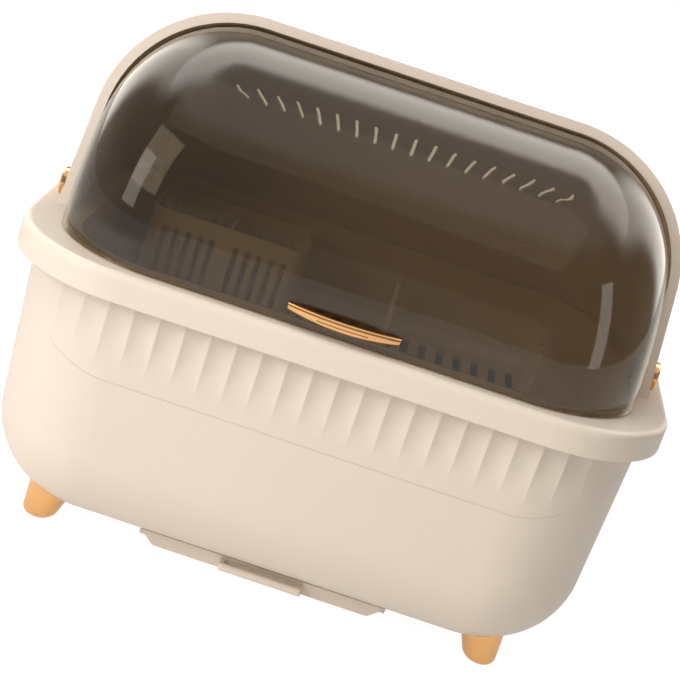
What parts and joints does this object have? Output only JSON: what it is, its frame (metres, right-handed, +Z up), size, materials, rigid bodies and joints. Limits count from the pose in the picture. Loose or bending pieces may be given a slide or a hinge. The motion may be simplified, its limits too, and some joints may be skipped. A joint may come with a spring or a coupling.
{
  "type": "covered dish drying box",
  "caption": "Rounded dish drying box with a fluted tub on splayed feet, a fixed rear hood, a smoked swing-back lid, a hanging basket with inserts and a pull-out drip tray.",
  "frame": {"origin": "on the table, under the middle of the rim frame", "axes": "+X to the right seen from the front, +Y from the lid to the back, +Z up"},
  "size_m": [0.455, 0.3, 0.3712],
  "materials": {
    "cream_plastic": "fine satin moulded, warm cream",
    "basket_plastic": "fine satin moulded, warm grey beige",
    "satin_gold": "satin orange gold",
    "polished_gold": "polished warm gold plating",
    "smoked_clear": "clear smoked brown, glossy moulded",
    "dark_rubber": "soft matte",
    "screw_steel": "bright zinc",
    "grey_plastic": "plain moulded",
    "white_nylon": "plain moulded"
  },
  "bodies": {
    "tub_base": {"tub": "cream_plastic", "drain_outlet": "grey_plastic", "outlet_seal": "dark_rubber", "outlet_nut": "grey_plastic", "sump_strainer": "grey_plastic", "foot_front_left": "satin_gold", "foot_front_right": "satin_gold", "foot_back_left": "satin_gold", "foot_back_right": "satin_gold", "foot_pads": "dark_rubber", "foot_screws": "screw_steel", "tray_runner_left": "cream_plastic", "tray_runner_right": "cream_plastic", "runner_screws": "screw_steel"},
    "tray": {"drip_tray": "cream_plastic"},
    "cover": {"rim_frame": "cream_plastic", "hood": "cream_plastic", "pivot_pin_left": "polished_gold", "pivot_pin_right": "polished_gold", "pivot_washer_left": "white_nylon", "pivot_washer_right": "white_nylon", "pivot_clip_left": "screw_steel", "pivot_clip_right": "screw_steel", "hood_pads": "dark_rubber", "lid_bumpers": "dark_rubber"},
    "front_lid": {"lid": "smoked_clear", "lid_handle": "polished_gold", "handle_screws": "screw_steel"},
    "basket": {"dish_basket": "basket_plastic", "plate_rack": "basket_plastic", "bowl_rack": "basket_plastic"},
    "cage": {"cutlery_cage": "basket_plastic"}
  },
  "joints": [
    {"name": "tray_slide", "type": "slide", "parent": "tub_base", "child": "tray", "axis": [0, -1, 0], "range_m": [0, 0.13]},
    {"name": "cover_lift", "type": "slide", "parent": "tub_base", "child": "cover", "axis": [0, 0, 1], "range_m": [0, 0.06]},
    {"name": "lid_hinge", "type": "hinge", "parent": "cover", "child": "front_lid", "pos_m": [0, -0.0353, 0.2233], "axis": [-1, 0, 0], "range_deg": [0, 82]},
    {"name": "basket_lift", "type": "slide", "parent": "cover", "child": "basket", "axis": [0, 0, 1], "range_m": [0, 0.005]},
    {"name": "cage_lift", "type": "slide", "parent": "basket", "child": "cage", "axis": [0, 0, 1], "range_m": [0, 0.01]}
  ]
}
